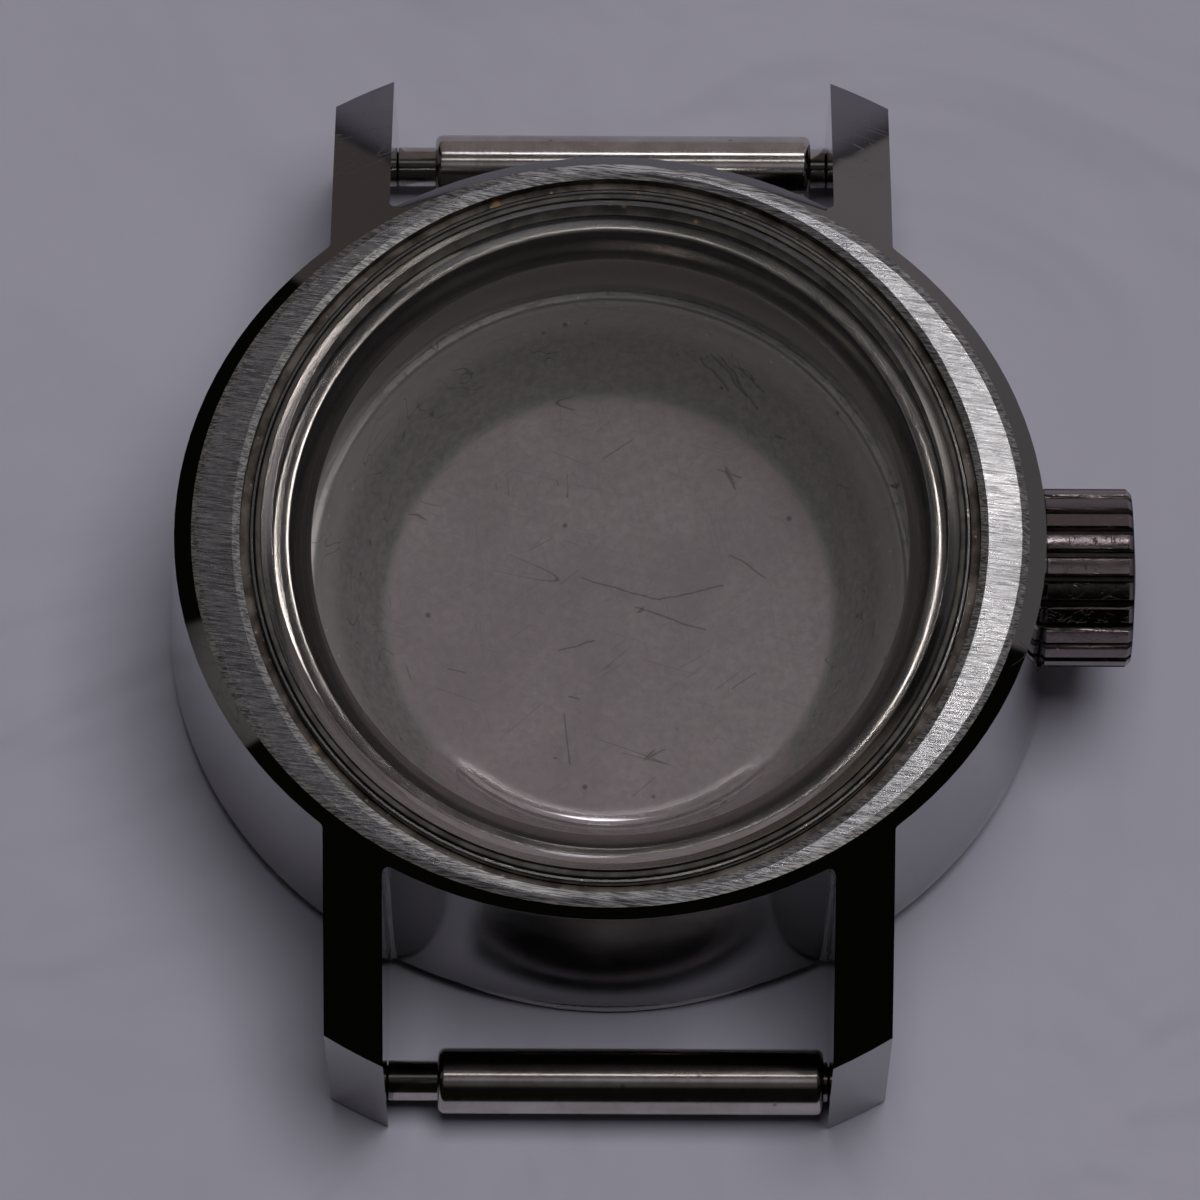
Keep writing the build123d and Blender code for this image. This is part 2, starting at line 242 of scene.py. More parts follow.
def make_brush_lines():
    """Straight brushing along X: fine lines, and sparse brighter strokes a little askew."""
    tree, given, out = start_group(
        "brush_lines",
        [
            ("Vector", "NodeSocketVector", (0, 0, 0)),
            ("Along", "NodeSocketFloat", 0.8),
            ("Across", "NodeSocketFloat", 14.0),
            ("Lean", "NodeSocketFloat", 0.0),
        ],
        [("Lines", "NodeSocketFloat"), ("Strokes", "NodeSocketFloat"), ("Height", "NodeSocketFloat")],
    )
    scales = {0: given["Along"], 1: given["Across"], 2: given["Across"]}
    stretch = put(tree, "ShaderNodeCombineXYZ", scales).outputs[0]

    def layer(turn, detail, offset):
        lean = add(tree, given["Lean"], turn)
        turned_vector = turn_round(tree, given["Vector"], lean)
        placed = vector_node(tree, "ADD", turned_vector, (offset, offset, offset))
        return noise(tree, vector_node(tree, "MULTIPLY", placed, stretch), 1.0, detail, 0.62)

    fine = layer(0.0, 5.0, 3.1)
    coarse = layer(0.05, 2.0, 17.3)
    askew = layer(-0.07, 2.0, 41.7)
    lines = ramp_between(tree, fine, 0.28, 0.72)
    strokes_low = ramp_between(tree, coarse, 0.60, 0.72)
    strokes_high = ramp_between(tree, askew, 0.62, 0.74)
    strokes = math_node(tree, "MAXIMUM", strokes_low, strokes_high)
    height = add(tree, multiply(tree, fine, 0.7), multiply(tree, coarse, 0.3))
    tree.links.new(lines, out["Lines"])
    tree.links.new(strokes, out["Strokes"])
    tree.links.new(height, out["Height"])
    return tree


def make_hairlines():
    """Thin wandering scratches in three directions, broken into short runs."""
    tree, given, out = start_group(
        "hairlines",
        [
            ("Vector", "NodeSocketVector", (0, 0, 0)),
            ("Scale", "NodeSocketFloat", 1.0),
            ("Width", "NodeSocketFloat", 0.02),
            ("Spread", "NodeSocketFloat", 0.5),
        ],
        [("Mask", "NodeSocketFloat")],
    )
    found = None
    for turn, offset in ((0.3, 5.0), (1.35, 23.0), (2.5, 61.0)):
        turned_vector = turn_round(tree, given["Vector"], turn)
        placed = vector_node(tree, "ADD", turned_vector, (offset, offset, offset))
        stretched = vector_node(tree, "MULTIPLY", placed, (0.16, 1.9, 1.9))
        level = noise(tree, stretched, given["Scale"], 1.0, 0.4, 0.25)
        gap = math_node(tree, "ABSOLUTE", subtract(tree, level, 0.5))
        line = subtract(tree, 1.0, math_node(tree, "DIVIDE", gap, given["Width"]), clamp=True)
        where = noise(tree, placed, multiply(tree, given["Scale"], 0.9), 1.0)
        kept = math_node(tree, "GREATER_THAN", where, given["Spread"])
        line = multiply(tree, line, kept)
        found = line if found is None else math_node(tree, "MAXIMUM", found, line)
    tree.links.new(found, out["Mask"])
    return tree


def make_specks():
    """Small round dots of dust or pitting, each in its own place."""
    tree, given, out = start_group(
        "specks",
        [
            ("Vector", "NodeSocketVector", (0, 0, 0)),
            ("Scale", "NodeSocketFloat", 2.0),
            ("Size", "NodeSocketFloat", 0.12),
            ("Rarity", "NodeSocketFloat", 0.8),
        ],
        [("Mask", "NodeSocketFloat")],
    )
    cells = put(tree, "ShaderNodeTexVoronoi", {"Vector": given["Vector"], "Scale": given["Scale"]})
    gap = math_node(tree, "DIVIDE", cells.outputs["Distance"], given["Size"])
    near = subtract(tree, 1.0, gap, clamp=True)
    chance = put(tree, "ShaderNodeSeparateColor", {0: cells.outputs["Color"]}).outputs[0]
    chosen = math_node(tree, "GREATER_THAN", chance, given["Rarity"])
    tree.links.new(multiply(tree, ramp_between(tree, near, 0.0, 0.6), chosen), out["Mask"])
    return tree


def make_smudges():
    """Soft cloudy patches, as handling leaves on polished metal."""
    tree, given, out = start_group(
        "smudges",
        [
            ("Vector", "NodeSocketVector", (0, 0, 0)),
            ("Scale", "NodeSocketFloat", 0.4),
            ("Contrast", "NodeSocketFloat", 0.2),
        ],
        [("Cloud", "NodeSocketFloat")],
    )
    cloud = noise(tree, given["Vector"], given["Scale"], 6.0, 0.62, 0.3)
    low = subtract(tree, 0.5, given["Contrast"])
    high = add(tree, 0.5, given["Contrast"])
    tree.links.new(ramp_between(tree, cloud, low, high), out["Cloud"])
    return tree


def make_turning_lines():
    """Concentric lines left by the lathe, round the vertical axis."""
    tree, given, out = start_group(
        "turning_lines",
        [
            ("Vector", "NodeSocketVector", (0, 0, 0)),
            ("Across", "NodeSocketFloat", 12.0),
            ("Along", "NodeSocketFloat", 1.5),
        ],
        [("Lines", "NodeSocketFloat"), ("Radius", "NodeSocketFloat")],
    )
    parts = put(tree, "ShaderNodeSeparateXYZ", {0: given["Vector"]}).outputs
    flat = put(tree, "ShaderNodeCombineXYZ", {0: parts[0], 1: parts[1]}).outputs[0]
    radius = vector_node(tree, "LENGTH", flat)
    round_place = vector_node(tree, "NORMALIZE", flat)
    around = vector_node(tree, "SCALE", round_place)
    tree.links.new(given["Along"], around.node.inputs["Scale"])
    outwards = multiply(tree, radius, given["Across"])
    height = multiply(tree, parts[2], given["Across"])
    place = put(tree, "ShaderNodeSeparateXYZ", {0: around}).outputs
    level = add(tree, outwards, height)
    spot = put(tree, "ShaderNodeCombineXYZ", {0: place[0], 1: place[1], 2: level}).outputs[0]
    tree.links.new(ramp_between(tree, noise(tree, spot, 1.0, 4.0, 0.6), 0.25, 0.75), out["Lines"])
    tree.links.new(radius, out["Radius"])
    return tree


def make_drawn_scratch():
    """One scratch between two places seen from above, wavering a little."""
    tree, given, out = start_group(
        "drawn_scratch",
        [
            ("Vector", "NodeSocketVector", (0, 0, 0)),
            ("Start", "NodeSocketVector", (0, 0, 0)),
            ("End", "NodeSocketVector", (1, 0, 0)),
            ("Width", "NodeSocketFloat", 0.05),
        ],
        [("Mask", "NodeSocketFloat")],
    )
    cloud = put(tree, "ShaderNodeTexNoise", {"Vector": given["Vector"], "Scale": 1.2, "Detail": 2.0})
    waver = vector_node(tree, "SUBTRACT", cloud.outputs["Color"], (0.5, 0.5, 0.5))
    waver = vector_node(tree, "MULTIPLY", waver, (0.25, 0.25, 0.25))
    flat = vector_node(tree, "MULTIPLY", vector_node(tree, "ADD", given["Vector"], waver), (1, 1, 0))
    along = vector_node(tree, "SUBTRACT", given["End"], given["Start"])
    reach = vector_node(tree, "SUBTRACT", flat, given["Start"])
    length = vector_node(tree, "DOT_PRODUCT", along, along)
    share = math_node(tree, "DIVIDE", vector_node(tree, "DOT_PRODUCT", reach, along), length, clamp=True)
    nearest = vector_node(tree, "SCALE", along)
    tree.links.new(share, nearest.node.inputs["Scale"])
    gap = vector_node(tree, "DISTANCE", reach, nearest)
    share_of_width = math_node(tree, "DIVIDE", gap, given["Width"])
    tree.links.new(ramp_between(tree, share_of_width, 0.3, 1.0, 1.0, 0.0), out["Mask"])
    return tree


effects = {
    "brush": make_brush_lines(),
    "scratch": make_drawn_scratch(),
    "hairlines": make_hairlines(),
    "specks": make_specks(),
    "smudges": make_smudges(),
    "turning": make_turning_lines(),
}


# ---------------------------------------------------------------- materials

# Millimetres of relief, and slopes that the real surfaces have beyond the solids' flat ones
BRUSH_DEPTH = 0.0016
SCRATCH_DEPTH = 0.0003
RING_DOME = 0.035
FLANK_TOP = 8.6
FRONT_FLANK_SWELL = 0.0193
BACK_GRAIN = 0.008
FLOOR_CURL = 0.10

# Radii on the back's inside, and how far south its floor curls up to a bright crescent
CURL_START = 5.33
CRESCENT_RADIUS = 6.12
CRESCENT_FULL = -4.9
CRESCENT_END = -3.6
FLOOR_EDGE = 6.0
DISH_RIM = 7.2
BACK_SCRATCH_WIDTH = 0.035

# Longer scratches seen on the back, from and to these places
BACK_SCRATCHES = [
    ((2.45, 6.75), (3.25, 6.05)),
    ((2.75, 6.85), (3.75, 5.85)),
    ((3.05, 6.70), (4.05, 5.55)),
    ((3.40, 6.50), (4.20, 5.80)),
    ((-0.80, 0.95), (1.35, 0.30)),
    ((1.35, 0.30), (3.10, 0.75)),
    ((0.70, 0.10), (2.60, -0.55)),
    ((3.30, 1.60), (4.30, 0.95)),
    ((-1.40, -1.10), (-0.40, -0.85)),
]


def start_material(name):
    """A new material with a shader, its output, and the piece's own coordinates in millimetres."""
    material = bpy.data.materials.new(name)
    material.use_nodes = True
    tree = material.node_tree
    tree.nodes.clear()
    output = put(tree, "ShaderNodeOutputMaterial")
    shader = put(tree, "ShaderNodeBsdfPrincipled")
    tree.links.new(shader.outputs[0], output.inputs["Surface"])
    place = put(tree, "ShaderNodeTexCoord").outputs["Object"]
    place = vector_node(tree, "MULTIPLY", place, (PER_MM, PER_MM, PER_MM))
    return material, tree, shader, place


def finish_shader(tree, shader, base, roughness, height=None, bump=0.02, metallic=1.0, strength=1.0):
    """Links colour, roughness and a bump in millimetres to the shader."""
    for key, value in (("Base Color", base), ("Roughness", roughness)):
        if isinstance(value, bpy.types.NodeSocket):
            tree.links.new(value, shader.inputs[key])
        else:
            shader.inputs[key].default_value = value
    shader.inputs["Metallic"].default_value = metallic
    if height is not None:
        settings = {"Strength": strength, "Distance": bump * MM, "Height": height}
        relief = put(tree, "ShaderNodeBump", settings)
        tree.links.new(relief.outputs[0], shader.inputs["Normal"])


def polished_metal(name, base, roughness, scratch_width=0.006, scale=1.0, swell=0.0):
    """Polished metal with hairline scratches and faint smudges; a swell rounds an upright wall."""
    material, tree, shader, place = start_material(name)
    hairlines = effects["hairlines"]
    marks = use_group(tree, hairlines, vector=place, scale=scale, width=scratch_width, spread=0.60)
    scratches = marks["Mask"]
    cloud = use_group(tree, effects["smudges"], vector=place, scale=0.35, contrast=0.25)["Cloud"]
    rough = add(tree, roughness, multiply(tree, cloud, roughness * 0.7))
    rough = add(tree, rough, multiply(tree, scratches, 0.08))
    dulled = colour(*[channel * 0.86 for channel in base])
    shade = blend_colour(tree, multiply(tree, cloud, 0.35), colour(*base), dulled)
    height = multiply(tree, scratches, -SCRATCH_DEPTH)
    rise = put(tree, "ShaderNodeSeparateXYZ", {0: place}).outputs[2]
    below = subtract(tree, multiply(tree, rise, 0.5), FLANK_TOP)
    bulge = multiply(tree, multiply(tree, rise, below), swell)
    height = add(tree, height, bulge)
    finish_shader(tree, shader, shade, rough, height, 1.0)
    return material


def brushed_metal(name, dark, light, rough_low, rough_range, dome):
    """Steel brushed straight along X, a little askew; a dome share lets it fall away outwards."""
    material, tree, shader, place = start_material(name)
    brushed = use_group(tree, effects["brush"], vector=place, along=0.9, across=20.0, lean=0.15)
    fine = use_group(tree, effects["brush"], vector=place, along=1.5, across=38.0, lean=0.12)
    cloud = use_group(tree, effects["smudges"], vector=place, scale=0.5, contrast=0.22)["Cloud"]
    mix = ramp_between(tree, blend_value(tree, 0.55, brushed["Lines"], fine["Lines"]), 0.25, 0.75)
    shade = blend_colour(tree, mix, colour(*dark), colour(*light))
    strokes = multiply(tree, brushed["Strokes"], 0.55)
    shade = blend_colour(tree, strokes, shade, colour(1.0, 0.985, 1.0))
    rough = add(tree, rough_low, multiply(tree, fine["Lines"], rough_range))
    rough = add(tree, rough, multiply(tree, cloud, 0.04))
    height = add(tree, multiply(tree, brushed["Height"], 0.6), fine["Height"])
    radius = vector_node(tree, "LENGTH", vector_node(tree, "MULTIPLY", place, (1, 1, 0)))
    fall = multiply(tree, radius, -dome)
    height = add(tree, multiply(tree, height, BRUSH_DEPTH), fall)
    finish_shader(tree, shader, shade, rough, height, 1.0)
    shader.inputs["Anisotropic"].default_value = 0.9
    across = put(tree, "ShaderNodeCombineXYZ", {0: -0.12, 1: 1.0, 2: 0.0})
    tree.links.new(across.outputs[0], shader.inputs["Tangent"])
    return material


def make_back_material():
    """The case back: a dull scuffed floor inside a mottled dish, with a painted sheen and painted glints
    round the dish's rim.
    """
    material, tree, shader, place = start_material("dull_back_steel")
    radius = use_group(tree, effects["turning"], vector=place)["Radius"]
    hairlines = effects["hairlines"]
    scratches = use_group(tree, hairlines, vector=place, scale=1.3, width=0.008, spread=0.50)["Mask"]
    deep = use_group(tree, hairlines, vector=place, scale=0.55, width=0.006, spread=0.62)["Mask"]
    spots = use_group(tree, effects["specks"], vector=place, scale=1.6, size=0.16, rarity=0.9)["Mask"]
    # painted glints: bright specks that are put into the colour round the dish's rim
    painted_glints = use_group(tree, effects["specks"], vector=place, scale=3.4, size=0.22, rarity=0.86)["Mask"]
    cloud = use_group(tree, effects["smudges"], vector=place, scale=0.28, contrast=0.2)["Cloud"]
    mottle = use_group(tree, effects["smudges"], vector=place, scale=4.0, contrast=0.26)["Cloud"]
    grain = noise(tree, place, 16.0, 3.0, 0.7)
    parts = put(tree, "ShaderNodeSeparateXYZ", {0: place}).outputs
    inside = ramp_between(tree, parts[2], 0.8, 1.2)
    south = multiply(tree, ramp_between(tree, parts[1], CRESCENT_FULL, CRESCENT_END, 1.0, 0.0), inside)
    from_floor = subtract(tree, radius, multiply(tree, south, 0.7))
    dished = ramp_between(tree, from_floor, FLOOR_EDGE, FLOOR_EDGE + 0.3)
    rim = ramp_between(tree, radius, DISH_RIM, DISH_RIM + 0.6)
    shade = blend_colour(tree, cloud, colour(0.58, 0.505, 0.52), colour(0.72, 0.635, 0.65))
    shade = blend_colour(tree, multiply(tree, mottle, 0.6), shade, colour(0.50, 0.43, 0.435))
    dish = blend_colour(tree, mottle, colour(0.44, 0.415, 0.415), colour(0.60, 0.57, 0.56))
    # painted highlight: the dish turns lighter towards its rim, a painted sheen
    dish = blend_colour(tree, multiply(tree, rim, 0.7), dish, colour(0.86, 0.82, 0.79))
    # painted glints: near-white specks on the rim's painted sheen
    dish = blend_colour(tree, multiply(tree, painted_glints, rim), dish, colour(1.0, 0.97, 0.93))
    shade = blend_colour(tree, dished, shade, dish)
    shade = blend_colour(tree, multiply(tree, scratches, 0.30), shade, colour(0.62, 0.60, 0.59))
    shade = blend_colour(tree, multiply(tree, deep, 0.55), shade, colour(0.12, 0.10, 0.10))
    shade = blend_colour(tree, multiply(tree, spots, 0.55), shade, colour(0.10, 0.085, 0.085))
    for start, end in BACK_SCRATCHES:
        ends = {"start": (*start, 0), "end": (*end, 0)}
        drawn = use_group(tree, effects["scratch"], vector=place, width=BACK_SCRATCH_WIDTH, **ends)["Mask"]
        shade = blend_colour(tree, multiply(tree, drawn, 0.45), shade, colour(0.13, 0.11, 0.11))
    curled = subtract(tree, radius, CURL_START, clamp=True)
    curl = multiply(tree, multiply(tree, curled, curled), FLOOR_CURL)
    curl = multiply(tree, curl, south)
    from_crescent = math_node(tree, "ABSOLUTE", subtract(tree, radius, CRESCENT_RADIUS))
    on_blend = ramp_between(tree, from_crescent, 0.2, 0.55, 1.0, 0.0)
    on_blend = multiply(tree, on_blend, south)
    on_rim = ramp_between(tree, parts[2], BACK_RIM_TOP - 0.3, BACK_RIM_TOP - 0.1)
    rough = blend_value(tree, on_rim, blend_value(tree, on_blend, 0.66, 0.10), 0.26)
    rough = add(tree, rough, multiply(tree, grain, 0.06))
    height = add(tree, grain, multiply(tree, mottle, 0.8))
    height = multiply(tree, subtract(tree, height, scratches), BACK_GRAIN)
    height = multiply(tree, height, subtract(tree, 1.0, on_blend))
    finish_shader(tree, shader, shade, rough, add(tree, height, curl), 1.0, metallic=0.85)
    return material


def make_turned_material():
    """The reflector ring and other lathe-turned bright surfaces."""
    material, tree, shader, place = start_material("turned_steel")
    turning = use_group(tree, effects["turning"], vector=place, across=9.0, along=1.0)
    cloud = use_group(tree, effects["smudges"], vector=place, scale=0.6, contrast=0.2)["Cloud"]
    shade = blend_colour(tree, turning["Lines"], colour(0.28, 0.255, 0.24), colour(0.42, 0.39, 0.37))
    rough = add(tree, 0.12, multiply(tree, cloud, 0.06))
    finish_shader(tree, shader, shade, rough, turning["Lines"], 0.00012)
    return material


def make_crown_material():
    """Warm plating, polished on its ridges and rougher between them, where painted shade darkens it."""
    material, tree, shader, place = start_material("warm_plating")
    offset = vector_node(tree, "SUBTRACT", place, (0, 0, STEM_HEIGHT))
    parts = put(tree, "ShaderNodeSeparateXYZ", {0: offset}).outputs
    flat = put(tree, "ShaderNodeCombineXYZ", {1: parts[1], 2: parts[2]}).outputs[0]
    radius = vector_node(tree, "LENGTH", flat)
    ridge = ramp_between(tree, radius, 2.27, 2.38)
    cloud = use_group(tree, effects["smudges"], vector=place, scale=1.1, contrast=0.22)["Cloud"]
    marks = use_group(tree, effects["hairlines"], vector=place, scale=2.0, width=0.01, spread=0.5)["Mask"]
    # painted shade: the plating is near-black down in the grooves between the ridges and lighter on the
    # ridges
    shade = blend_colour(tree, ridge, colour(0.05, 0.041, 0.038), colour(0.23, 0.194, 0.190))
    shade = blend_colour(tree, multiply(tree, cloud, 0.3), shade, colour(0.19, 0.156, 0.153))
    rough = blend_value(tree, ridge, 0.40, 0.12)
    rough = add(tree, rough, multiply(tree, cloud, 0.08))
    height = subtract(tree, noise(tree, place, 5.0, 3.0, 0.6), marks)
    finish_shader(tree, shader, shade, rough, height, 0.004)
    return material


def make_bar_material():
    """Drawn steel with fine rings ground round each bar, and a warm tarnish."""
    material, tree, shader, place = start_material("drawn_bar_steel")
    rings = noise(tree, vector_node(tree, "MULTIPLY", place, (9.0, 0.4, 0.4)), 1.0, 2.0, 0.5)
    cloud = use_group(tree, effects["smudges"], vector=place, scale=0.9, contrast=0.22)["Cloud"]
    spots = use_group(tree, effects["specks"], vector=place, scale=2.4, size=0.2, rarity=0.82)["Mask"]
    shade = blend_colour(tree, cloud, colour(0.50, 0.455, 0.42), colour(0.66, 0.62, 0.585))
    shade = blend_colour(tree, multiply(tree, spots, 0.6), shade, colour(0.20, 0.16, 0.13))
    rough = add(tree, 0.10, multiply(tree, rings, 0.10))
    finish_shader(tree, shader, shade, rough, rings, 0.0012)
    return material


def make_gasket_material():
    """The crystal's moulded seal: smoky, with brown grime along it."""
    material, tree, shader, place = start_material("smoky_seal")
    cloud = use_group(tree, effects["smudges"], vector=place, scale=1.6, contrast=0.15)["Cloud"]
    dirt = use_group(tree, effects["specks"], vector=place, scale=2.6, size=0.25, rarity=0.86)["Mask"]
    shade = blend_colour(tree, cloud, colour(0.022, 0.019, 0.017), colour(0.060, 0.052, 0.046))
    shade = blend_colour(tree, multiply(tree, dirt, 0.7), shade, colour(0.32, 0.17, 0.07))
    rough = add(tree, 0.35, multiply(tree, cloud, 0.2))
    finish_shader(tree, shader, shade, rough, cloud, 0.006, metallic=0.0)
    return material


def make_grime_material():
    """The groove round the crystal's seal: dull steel coloured very dark brown all over, with light crumbs
    and rust specks.
    """
    material, tree, shader, place = start_material("dirty_groove_steel")
    cloud = use_group(tree, effects["smudges"], vector=place, scale=1.1, contrast=0.14)["Cloud"]
    crumbs = use_group(tree, effects["specks"], vector=place, scale=5.0, size=0.30, rarity=0.72)["Mask"]
    rust = use_group(tree, effects["specks"], vector=place, scale=1.3, size=0.24, rarity=0.80)["Mask"]
    # the groove's floor is coloured very dark brown throughout, far darker than the steel beside it
    shade = blend_colour(tree, cloud, colour(0.035, 0.027, 0.022), colour(0.11, 0.092, 0.080))
    shade = blend_colour(tree, multiply(tree, crumbs, 0.5), shade, colour(0.34, 0.28, 0.24))
    shade = blend_colour(tree, multiply(tree, rust, 0.75), shade, colour(0.27, 0.15, 0.075))
    rough = subtract(tree, 0.62, multiply(tree, cloud, 0.2))
    height = add(tree, crumbs, noise(tree, place, 7.0, 3.0, 0.6))
    finish_shader(tree, shader, shade, rough, height, 0.01, metallic=0.35)
    return material


def make_rubber_material():
    material, tree, shader, place = start_material("black_rubber")
    grain = noise(tree, place, 9.0, 4.0, 0.65)
    shade = blend_colour(tree, grain, colour(0.018, 0.018, 0.018), colour(0.045, 0.044, 0.043))
    rough = add(tree, 0.55, multiply(tree, grain, 0.2))
    finish_shader(tree, shader, shade, rough, grain, 0.006, metallic=0.0)
    return material


def make_wire_material():
    material, tree, shader, place = start_material("spring_wire")
    cloud = use_group(tree, effects["smudges"], vector=place, scale=3.0, contrast=0.2)["Cloud"]
    shade = blend_colour(tree, cloud, colour(0.40, 0.39, 0.38), colour(0.56, 0.55, 0.54))
    rough = add(tree, 0.22, multiply(tree, cloud, 0.12))
    finish_shader(tree, shader, shade, rough, cloud, 0.002)
    return material


def make_glass_material():
    """The crystal: clear mineral glass that lets lamplight through to the case back."""
    material, tree, shader, _ = start_material("clear_crystal")
    shader.inputs["Base Color"].default_value = colour(0.985, 0.99, 0.99)
    shader.inputs["Roughness"].default_value = 0.0
    shader.inputs["IOR"].default_value = 1.5
    shader.inputs["Transmission Weight"].default_value = 1.0
    clear = put(tree, "ShaderNodeBsdfTransparent", {"Color": colour(0.90, 0.90, 0.90)})
    rays = put(tree, "ShaderNodeLightPath")
    mixed = put(
        tree,
        "ShaderNodeMixShader",
        {0: rays.outputs["Is Shadow Ray"], 1: shader.outputs[0], 2: clear.outputs[0]},
    )
    output = next(node for node in tree.nodes if node.type == "OUTPUT_MATERIAL")
    tree.links.new(mixed.outputs[0], output.inputs["Surface"])
    return material


finishes = {
    "polished": polished_metal("polished_steel", (0.295, 0.287, 0.291), 0.03),
    # painted shade: the front flank is a darker copy of the polished steel, so that what it mirrors there
    # reads darker
    "front": polished_metal("shaded_front_flank_steel", (0.20, 0.195, 0.20), 0.09, swell=FRONT_FLANK_SWELL),
    "edge": brushed_metal("ring_edge_steel", (0.16, 0.155, 0.16), (0.90, 0.885, 0.89), 0.30, 0.15, 0.0),
    "grime": make_grime_material(),
    "brushed": brushed_metal(
        "brushed_steel", (0.27, 0.26, 0.275), (0.80, 0.785, 0.805), 0.20, 0.08, RING_DOME
    ),
    "inner": polished_metal("bored_steel", (0.40, 0.375, 0.36), 0.12, 0.01, 1.6),
    "bright": polished_metal("bright_ring_steel", (0.60, 0.585, 0.575), 0.08, 0.008, 1.4),
    "turned": make_turned_material(),
    "back": make_back_material(),
    "crown": make_crown_material(),
    "bar": make_bar_material(),
    "gasket": make_gasket_material(),
    "rubber": make_rubber_material(),
    "wire": make_wire_material(),
    "glass": make_glass_material(),
}


# ---------------------------------------------------------------- mesh helpers


def round_edges(bm, edges, width, segments=2):
    bmesh.ops.bevel(
        bm,
        geom=edges,
        offset=width * MM,
        offset_type="OFFSET",
        segments=segments,
        profile=0.5,
        affect="EDGES",
        clamp_overlap=True,
        material=-1,
    )


def soften_edges(bm, width, sharper_than=math.radians(28), segments=2):
    """Rounds the edges that are sharper than an angle."""
    inner = [edge for edge in bm.edges if len(edge.link_faces) == 2]
    round_edges(bm, [edge for edge in inner if edge.calc_face_angle() > sharper_than], width, segments)


def finish_piece(name, bm, materials, body, stands_for, smooth_under=math.radians(24)):
    """Turns a bmesh into a shaded piece that rides on its body and stands for its node."""
    bm.normal_update()
    for face in bm.faces:
        face.smooth = True
    for edge in bm.edges:
        if len(edge.link_faces) == 2 and edge.calc_face_angle() > smooth_under:
            edge.smooth = False
    mesh = bpy.data.meshes.new(name)
    bm.to_mesh(mesh)
    bm.free()
    piece = bpy.data.objects.new(name, mesh)
    bpy.context.scene.collection.objects.link(piece)
    for key in materials:
        mesh.materials.append(finishes[key])
    weigh = piece.modifiers.new("even_shading", "WEIGHTED_NORMAL")
    weigh.keep_sharp = True
    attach(piece, body)
    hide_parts(stands_for)
    return piece


def spun(profile, centre, along, across, steps):
    """A profile of (radius, distance along the axis) points spun into a closed ring or disc."""
    bm = bmesh.new()
    points = [bm.verts.new((centre + across * radius + along * reach) * MM) for radius, reach in profile]
    pairs = list(zip(points, points[1:] + points[:1]))
    edges = []
    for (first, second), (near, far) in zip(pairs, zip(profile, profile[1:] + profile[:1])):
        if near[0] > 0 or far[0] > 0:
            edges.append(bm.edges.new((first, second)))
    bmesh.ops.spin(
        bm,
        geom=points + edges,
        cent=centre * MM,
        axis=along,
        angle=FULL_TURN,
        steps=steps,
        use_merge=True,
        use_duplicate=False,
    )
    bmesh.ops.remove_doubles(bm, verts=bm.verts, dist=MERGE)
    bmesh.ops.recalc_face_normals(bm, faces=bm.faces)
    return bm


UP = Vector((0, 0, 1))
CROWNWARDS = Vector((1, 0, 0))


def turned(profile, steps=256):
    """Spun about the case's vertical axis."""
    return spun(profile, Vector((0, 0, 0)), UP, CROWNWARDS, steps)


def turned_on_stem(profile, steps=96):
    """Spun about the stem's axis, from (radius, x) points."""
    return spun(profile, Vector((0, 0, STEM_HEIGHT)), CROWNWARDS, UP, steps)


# ---------------------------------------------------------------- the case's body


# The body's finishes, in the order of its faces' material numbers
BODY_FINISHES = ["polished", "brushed", "edge", "inner", "grime", "front"]


def make_case_body():
    """The solid's own surface, with softened edges and a finish for each face."""
    bm = bmesh.new()
    bm.from_mesh(nodes["mid_case"].data)
    bmesh.ops.remove_doubles(bm, verts=bm.verts, dist=MERGE)
    bm.normal_update()
    shoulder = [
        edge
        for edge in bm.edges
        if min(vert.co.z for vert in edge.verts) > SHOULDER_LOW * MM
        and math.radians(34) < edge.calc_face_angle(0) < math.radians(75)
        and min(vert.co.xy.length for vert in edge.verts) > SHOULDER_REACH * MM
        and max(abs(vert.co.x) for vert in edge.verts) < BETWEEN_LUGS * MM
    ]
    round_edges(bm, shoulder, SHOULDER_ROUNDING, 6)
    bm.normal_update()
    top = BODY_TOP * MM
    near = FLATNESS * MM
    for face in bm.faces:
        heights = [vert.co.z for vert in face.verts]
        reach = max(vert.co.xy.length for vert in face.verts)
        if face.normal.z > 0.9999 and min(heights) > top - near:
            face.material_index = BODY_FINISHES.index("brushed")
        elif min(heights) > (RING_EDGE - FLATNESS) * MM and face.normal.z > 0.9:
            face.material_index = BODY_FINISHES.index("edge")
        elif reach < SEAT_REACH * MM and min(heights) > (GROOVE_FLOOR - FLATNESS) * MM:
            face.material_index = BODY_FINISHES.index("grime")
        elif reach < SEAT_REACH * MM and face.normal.z < 0.9999:
            face.material_index = BODY_FINISHES.index("inner")
        # the front flank's faces get the darker copy of the polished steel, a painted shade
        elif face.normal.y < -0.7 and abs(face.normal.z) < 0.12 and max(heights) > FLANK_HIGH * MM:
            if max(abs(vert.co.x) for vert in face.verts) < FRONT_HALF_WIDTH * MM:
                face.material_index = BODY_FINISHES.index("front")
    return finish_piece("case_body", bm, BODY_FINISHES, "case", "mid_case", math.radians(9))


# ---------------------------------------------------------------- rings and crystal


